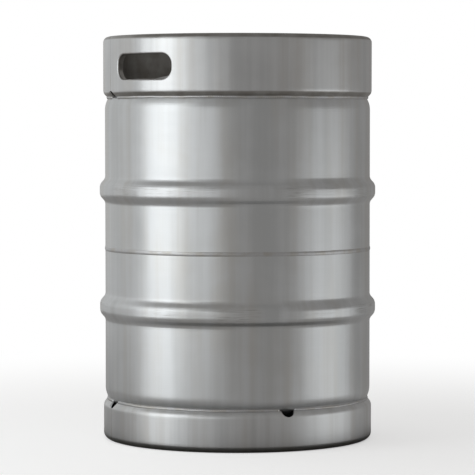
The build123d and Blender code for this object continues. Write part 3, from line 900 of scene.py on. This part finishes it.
# ---- Materials ----
class Paint:
    """A material's node graph, put together with short calls."""

    def __init__(self, name, **values):
        self.material = bpy.data.materials.new(name)
        self.material.use_nodes = True
        self.tree = self.material.node_tree
        self.shader = self.tree.nodes["Principled BSDF"]
        self.place = self.tree.nodes.new("ShaderNodeTexCoord").outputs["Object"]
        for socket, value in values.items():
            self.shader.inputs[socket.replace("_", " ")].default_value = value

    def node(self, kind, **settings):
        made = self.tree.nodes.new(kind)
        for key, value in settings.items():
            setattr(made, key, value)
        return made

    def link(self, a, b):
        self.tree.links.new(a, b)

    def noise(self, stretch, detail=2.0, roughness=0.5, distortion=0.0):
        """Noise with stretch features per metre, or with its own number along X, Y and Z."""
        mapping = self.node("ShaderNodeMapping")
        mapping.inputs["Scale"].default_value = stretch if isinstance(stretch, tuple) else (stretch,) * 3
        self.link(self.place, mapping.inputs["Vector"])
        noise = self.node("ShaderNodeTexNoise")
        noise.inputs["Scale"].default_value = 1.0
        noise.inputs["Detail"].default_value = detail
        noise.inputs["Roughness"].default_value = roughness
        noise.inputs["Distortion"].default_value = distortion
        self.link(mapping.outputs[0], noise.inputs["Vector"])
        return noise.outputs["Fac"]

    def spread(self, value, low, high, to_low=0.0, to_high=1.0):
        """value mapped from low..high to to_low..to_high, held at the ends."""
        node = self.node("ShaderNodeMapRange", interpolation_type="SMOOTHSTEP")
        for socket, number in zip(("From Min", "From Max", "To Min", "To Max"), (low, high, to_low, to_high)):
            node.inputs[socket].default_value = number
        self.link(value, node.inputs["Value"])
        return node.outputs["Result"]

    def math(self, operation, a, b):
        node = self.node("ShaderNodeMath", operation=operation)
        for socket, value in zip(node.inputs, (a, b)):
            if isinstance(value, (int, float)):
                socket.default_value = value
            else:
                self.link(value, socket)
        return node.outputs[0]

    def mix(self, share, a, b):
        """Colour a to colour b by share. Each may be a colour or a socket."""
        node = self.node("ShaderNodeMix", data_type="RGBA")
        self.link(share, node.inputs["Factor"])
        for key, value in (("A", a), ("B", b)):
            socket = [s for s in node.inputs if s.name == key and s.type == "RGBA"][0]
            if isinstance(value, tuple):
                socket.default_value = (*value, 1.0)
            else:
                self.link(value, socket)
        return [s for s in node.outputs if s.type == "RGBA"][0]

    def along(self, axis):
        """The place's coordinate along an axis, or its distance from the Z axis."""
        split = self.node("ShaderNodeSeparateXYZ")
        self.link(self.place, split.inputs[0])
        if axis == "R":
            squares = [self.math("MULTIPLY", split.outputs[k], split.outputs[k]) for k in (0, 1)]
            return self.math("SQRT", self.math("ADD", *squares), 0.0)
        return split.outputs[axis]

    def colour(self, socket):
        self.link(socket, self.shader.inputs["Base Color"])

    def rough(self, socket):
        self.link(socket, self.shader.inputs["Roughness"])

    def bump(self, height, distance):
        """Adds a bump layer whose full height is distance, in metres."""
        node = self.node("ShaderNodeBump")
        node.inputs["Distance"].default_value = distance
        self.link(height, node.inputs["Height"])
        before = self.shader.inputs["Normal"].links
        if before:
            self.link(before[0].from_socket, node.inputs["Normal"])
        self.link(node.outputs[0], self.shader.inputs["Normal"])

    def brushed_round(self, amount):
        """Stretches highlights as brushing round the Z axis does."""
        tangent = self.node("ShaderNodeTangent", direction_type="RADIAL", axis="Z")
        self.link(tangent.outputs[0], self.shader.inputs["Tangent"])
        self.shader.inputs["Anisotropic"].default_value = amount


SATIN_ROUGH = (0.33, 0.41)
WELL_LOW_Z = 0.3  # below this the bottom dome and the foot get no painted shade
WELL_EDGE = 0.0008
SCUFF_EDGE = 0.012  # the rim's and foot's height that other kegs rub


def scuff_place(p):
    """Up to 1, in patches, where the keg is rolled and stacked: rib crests and the rim's and foot's edges."""
    height = p.along("Z")
    crest = p.spread(p.along("R"), BODY_R + 0.0055, RIB_R - 0.0008)
    rim = p.spread(height, HEIGHT - SCUFF_EDGE, HEIGHT - SCUFF_EDGE / 3)
    foot = p.spread(height, SCUFF_EDGE / 3, SCUFF_EDGE, 1.0, 0.0)
    place = p.math("MAXIMUM", crest, p.math("MAXIMUM", rim, foot))
    return p.math("MULTIPLY", place, p.spread(p.noise(11, 3.0, 0.6), 0.46, 0.62, 0.0, 0.85))


def sheet_steel(name, light, dark, seed, well_r, painted_well_shade):
    """Pickled, cold-rolled stainless sheet: soft upright streaks, cloudy patches, rolling lines round it.

    Painted shade darkens it in patches in the well inside the top chime, up to the radius well_r, by as much
    as its last argument.
    """
    p = Paint(name, Metallic=1.0)
    streaks = p.noise((52 + seed, 52 + seed, 1.6), 4.0, 0.55)
    clouds = p.noise((7, 7, 9), 3.0, 0.6, 0.4)
    lines = p.noise((5, 5, 620), 3.0, 0.6)
    grain = p.noise((900, 900, 2600), 2.0, 0.5)
    tone = p.math("ADD", p.math("MULTIPLY", streaks, 0.6), p.math("MULTIPLY", clouds, 0.4))
    warm = (dark[0] * 1.03, dark[1], dark[2] * 0.965)
    tint = p.mix(p.spread(p.noise((21, 21, 2.4), 2.0), 0.35, 0.65), dark, warm)
    clean = p.mix(p.spread(tone, 0.36, 0.64), tint, light)
    inside = p.spread(p.along("R"), well_r, well_r + WELL_EDGE, 1.0, 0.0)
    in_well = p.math("MULTIPLY", inside, p.spread(p.along("Z"), WELL_LOW_Z, WELL_LOW_Z + 0.01))
    # painted shade in the well: patchy dark brown-grey that darkens the dome and the chime's inside, where
    # the chime shades them
    well_shade_patches = p.spread(p.noise(38, 4.0, 0.6), 0.3, 0.7, 0.7 * painted_well_shade, painted_well_shade)
    with_painted_shade = p.mix(p.math("MULTIPLY", in_well, well_shade_patches), clean, (0.27, 0.255, 0.235))
    scratches = p.spread(p.noise((26, 26, 1500), 3.0, 0.6), 0.5, 0.62)
    scuff = p.math("MULTIPLY", scuff_place(p), scratches)
    p.colour(p.mix(scuff, with_painted_shade, (0.40, 0.395, 0.385)))
    sheen = p.math("ADD", p.math("MULTIPLY", lines, 0.5), p.math("MULTIPLY", clouds, 0.5))
    p.rough(p.spread(sheen, 0.3, 0.7, *SATIN_ROUGH))
    p.bump(lines, 0.00006)
    p.bump(grain, 0.00003)
    p.brushed_round(0.1)
    return p.material


def weld_steel(name):
    """A cleaned bead: duller than the sheet, with a faint straw heat tint in patches."""
    p = Paint(name, Metallic=1.0)
    tint = p.spread(p.noise(60, 3.0), 0.42, 0.66)
    p.colour(p.mix(tint, (0.53, 0.53, 0.535), (0.49, 0.475, 0.45)))
    p.rough(p.spread(p.noise(400, 3.0), 0.3, 0.7, 0.30, 0.46))
    p.bump(p.noise(1500, 2.0), 0.00004)
    return p.material


def turned_steel(name, light, low_rough, high_rough):
    """Machined steel: fine rings round the axis and a few darker patches."""
    p = Paint(name, Metallic=1.0)
    travel = p.math("ADD", p.along("R"), p.along("Z"))
    rings = p.node("ShaderNodeTexNoise", noise_dimensions="1D")
    rings.inputs["Scale"].default_value = 5200.0
    rings.inputs["Detail"].default_value = 2.0
    p.link(travel, rings.inputs["W"])
    patches = p.noise(90, 3.0)
    dark = tuple(c * 0.82 for c in light)
    p.colour(p.mix(p.spread(patches, 0.35, 0.65), dark, light))
    p.rough(p.spread(rings.outputs["Fac"], 0.3, 0.7, low_rough, high_rough))
    p.bump(rings.outputs["Fac"], 0.00002)
    p.brushed_round(0.5)
    return p.material


def wire_steel(name):
    p = Paint(name, Metallic=1.0)
    patches = p.noise(300, 3.0)
    p.colour(p.mix(p.spread(patches, 0.35, 0.65), (0.40, 0.40, 0.41), (0.54, 0.54, 0.55)))
    p.rough(p.spread(p.noise(1500, 2.0), 0.3, 0.7, 0.22, 0.36))
    p.bump(p.noise((3000, 3000, 600), 2.0), 0.00001)
    return p.material


def ball_steel(name):
    p = Paint(name, Metallic=1.0)
    p.colour(p.mix(p.noise(400, 2.0), (0.70, 0.70, 0.71), (0.80, 0.80, 0.82)))
    p.rough(p.spread(p.noise(900, 3.0), 0.45, 0.75, 0.06, 0.18))
    return p.material


def seal_rubber(name):
    """Moulded black rubber with a dusty bloom and a fine matt grain."""
    p = Paint(name)
    p.shader.inputs["Specular IOR Level"].default_value = 0.4
    bloom = p.spread(p.noise(140, 4.0, 0.6), 0.45, 0.75)
    p.colour(p.mix(bloom, (0.013, 0.013, 0.014), (0.035, 0.034, 0.034)))
    p.rough(p.spread(p.noise(700, 3.0), 0.3, 0.7, 0.42, 0.62))
    p.bump(p.noise(4200, 2.0), 0.00003)
    return p.material


def bush_plastic(name):
    """Ivory bearing plastic, a little translucent, with moulding flow marks."""
    p = Paint(name)
    p.shader.inputs["Subsurface Weight"].default_value = 0.1
    p.shader.inputs["Subsurface Radius"].default_value = (0.002, 0.0015, 0.001)
    p.colour(p.mix(p.noise((220, 220, 60), 3.0), (0.74, 0.72, 0.66), (0.83, 0.82, 0.77)))
    p.rough(p.spread(p.noise(900, 3.0), 0.3, 0.7, 0.34, 0.5))
    p.bump(p.noise(2600, 2.0), 0.00002)
    return p.material


MATERIALS = {
    "shell_steel": sheet_steel("shell_satin", (0.66, 0.67, 0.68), (0.57, 0.58, 0.585), 0, 0.186, 0.2),
    "chime_steel": sheet_steel("chime_satin", (0.66, 0.665, 0.67), (0.56, 0.565, 0.57), 9, 0.197, 1.0),
    "weld_steel": weld_steel("weld_bead"),
    "forged_steel": turned_steel("neck_machined", (0.62, 0.62, 0.63), 0.24, 0.36),
    "valve_steel": turned_steel("valve_machined", (0.68, 0.68, 0.69), 0.18, 0.30),
    "spring_steel": wire_steel("spring_wire"),
    "ball_steel": ball_steel("ball_mirror"),
    "seal_rubber": seal_rubber("rubber_black"),
    "bush_plastic": bush_plastic("bush_ivory"),
}
SLOT_OF = {row["node"]: row["material_slot"] for row in frame["record"]["subparts"]}


def stand_in(piece, node, body):
    """piece shows in place of a CAD node: it rides its body and takes its slot and material."""
    piece.data.materials.clear()
    piece.data.materials.append(MATERIALS[SLOT_OF[node]])
    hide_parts(node)
    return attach(piece, body)


KEG_PIECES = {
    "upper_shell": make_upper_shell(),
    "lower_shell": make_lower_shell(),
    "girth_weld": make_girth_weld(),
    "top_chime": make_chime("top_chime_rolled", TOP_CHIME),
    "bottom_chime": make_chime("bottom_chime_rolled", BOTTOM_CHIME),
    "top_chime_seam": make_seam("top_chime_seam_bead", TOP_CHIME),
    "bottom_chime_seam": make_seam("bottom_chime_seam_bead", BOTTOM_CHIME),
    "top_chime_weld": make_root_weld("top_chime_weld_bead", TOP_CHIME),
    "bottom_chime_weld": make_root_weld("bottom_chime_weld_bead", BOTTOM_CHIME),
    "neck": make_neck(),
    "neck_weld": make_neck_weld(),
    "neck_gasket": make_neck_gasket(),
    "valve_body": make_valve_body(),
    "retaining_ring": make_retaining_ring(),
}
for node_name, piece in KEG_PIECES.items():
    stand_in(piece, node_name, "keg")
stand_in(make_gas_seal(), "gas_seal", "gas_valve")
stand_in(make_ball(), "valve_ball", "beer_valve")


def squash_spring(node, coil, body):
    """A spring that stands in for its node and rides its body, with its own copy of its mesh."""
    spring = make_spring(node + "_coil", node, coil)
    stand_in(spring, node, body)
    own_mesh(spring)


squash_spring("gas_spring", GAS_SPRING, "keg")
squash_spring("ball_spring", BALL_SPRING, "gas_valve")

for node_name in ("spring_cage", "guide_bush", "tube_head", "spear_tube"):
    node = frame["nodes"][node_name]
    node.data.materials.clear()
    node.data.materials.append(MATERIALS[SLOT_OF[node_name]])

# ---- Stage, light and camera ----
CAMERA_AZIMUTH = 44.4  # degrees round from -Y towards +X
CAMERA_DISTANCE = 3.75
CAMERA_HEIGHT = 0.469
CAMERA_LENS = 192.0
SOFTBOX_DISTANCE = 1.8
FLOOR_RADII = (0.0, 0.3, 0.8, 2.0, 5.0, 14.0)
FLOOR_GLOW = 0.5
FLOOR_FADE = (0.4, 1.4)  # between these radii the floor turns into the backdrop's white
KEG_EDGE = (0.15, 0.2)  # no light reaches the floor inside the foot
SHADE_R, SHADE_Z = 0.29, -0.0005
SHADE_FADE = (0.20, 0.29)
BACKDROP_R = 15.0
WORLD_GREY = (0.306, 0.3, 0.293, 1.0)
DAYLIGHT = (0.955, 0.99, 1.0)


def around(azimuth, distance, height):
    """A place on a circle round the keg, with its azimuth counted as the camera's."""
    angle = math.radians(azimuth)
    return Vector((distance * math.sin(angle), -distance * math.cos(angle), height))


def aim(thing, target):
    thing.rotation_mode = "QUATERNION"
    thing.rotation_quaternion = (Vector(target) - thing.location).to_track_quat("-Z", "Y")


def add_camera():
    data = bpy.data.cameras.new("camera")
    data.lens = CAMERA_LENS
    data.clip_start, data.clip_end = 0.1, 60.0
    camera = bpy.data.objects.new("camera", data)
    bpy.context.scene.collection.objects.link(camera)
    camera.location = around(CAMERA_AZIMUTH, CAMERA_DISTANCE, CAMERA_HEIGHT)
    aim(camera, (0, 0, HEIGHT / 2))
    bpy.context.scene.camera = camera


def add_softbox(name, azimuth, height, width, tall, brightness):
    """A soft upright panel that faces the keg, with its azimuth counted from the camera's."""
    data = bpy.data.lights.new(name, "AREA")
    data.shape = "RECTANGLE"
    data.size, data.size_y = width, tall
    data.energy = math.pi * width * tall * brightness
    data.color = DAYLIGHT
    lamp = bpy.data.objects.new(name, data)
    bpy.context.scene.collection.objects.link(lamp)
    lamp.location = around(CAMERA_AZIMUTH + azimuth, SOFTBOX_DISTANCE, height)
    aim(lamp, (0, 0, HEIGHT / 2))
    lamp.visible_camera = False


def stage_disc(name, radii, height):
    """A flat disc about the Z axis that no light or reflection meets until its maker says so."""
    net = Net()
    outline = np.array([(r, height) for r in radii])
    net.grid(net.add(swung(outline, angle_steps(96))), loop_rows=True)
    disc = net.finish(name)
    disc.visible_diffuse = disc.visible_glossy = disc.visible_shadow = False
    return disc


def add_floor():
    """A pale floor that turns into the backdrop's white away from the keg."""
    floor = stage_disc("studio_floor", FLOOR_RADII, 0.0)
    p = Paint("floor_pale", Roughness=0.9)
    p.shader.inputs["Specular IOR Level"].default_value = 0.1
    p.shader.inputs["Emission Color"].default_value = (1.0, 1.0, 1.0, 1.0)
    p.link(p.spread(p.along("R"), *KEG_EDGE, 0.0, FLOOR_GLOW), p.shader.inputs["Emission Strength"])
    p.colour(p.mix(p.noise(3, 3.0), (0.80, 0.80, 0.80), (0.83, 0.83, 0.83)))
    glow = p.node("ShaderNodeEmission")
    blend = p.node("ShaderNodeMixShader")
    p.link(p.spread(p.along("R"), *FLOOR_FADE), blend.inputs[0])
    p.link(p.shader.outputs[0], blend.inputs[1])
    p.link(glow.outputs[0], blend.inputs[2])
    p.link(blend.outputs[0], p.tree.nodes["Material Output"].inputs["Surface"])
    floor.data.materials.append(p.material)


def add_keg_shade():
    """The shaded ground under the keg and close round it, which only the steel's reflections see."""
    shade = stage_disc("studio_keg_shade", (0.0, SHADE_R), SHADE_Z)
    shade.visible_camera = False
    shade.visible_glossy = shade.visible_shadow = True
    p = Paint("shade_grey", Roughness=0.9)
    p.shader.inputs["Specular IOR Level"].default_value = 0.0
    under = p.mix(p.noise(9, 3.0), (0.08, 0.076, 0.07), (0.12, 0.115, 0.105))
    p.colour(p.mix(p.spread(p.along("R"), *SHADE_FADE), under, (0.6, 0.6, 0.6)))
    shade.data.materials.append(p.material)


def add_backdrop():
    """A white dome that only the camera sees."""
    net = Net()
    net.grid(net.add(swung(half_circle(BACKDROP_R, 0.0, 25), angle_steps(48))), loop_rows=True)
    dome = net.finish("studio_backdrop")
    material = bpy.data.materials.new("backdrop_white")
    material.use_nodes = True
    nodes = material.node_tree.nodes
    glow = nodes.new("ShaderNodeEmission")
    material.node_tree.links.new(glow.outputs[0], nodes["Material Output"].inputs["Surface"])
    dome.data.materials.append(material)
    dome.visible_diffuse = dome.visible_glossy = dome.visible_transmission = False
    dome.visible_shadow = dome.visible_volume_scatter = False


def add_world():
    world = bpy.data.worlds.new("studio")
    bpy.context.scene.world = world
    world.use_nodes = True
    world.node_tree.nodes["Background"].inputs["Color"].default_value = WORLD_GREY


add_camera()
add_world()
add_floor()
add_keg_shade()
add_backdrop()
add_softbox("key", -64, 0.52, 1.25, 1.5, 1.42)
add_softbox("key_core", -54, 0.8, 0.5, 0.9, 0.4)
add_softbox("key_edge", -26, 0.35, 0.7, 0.8, 0.7)
add_softbox("key_high", -60, 1.9, 1.8, 0.7, 0.4)
add_softbox("fill", 80, 0.0, 1.5, 0.9, 0.65)
add_softbox("shelf", -128, 0.9, 2.4, 2.0, 0.36)
bpy.context.scene.view_settings.view_transform = "Standard"
bpy.context.scene.cycles.use_denoising = True
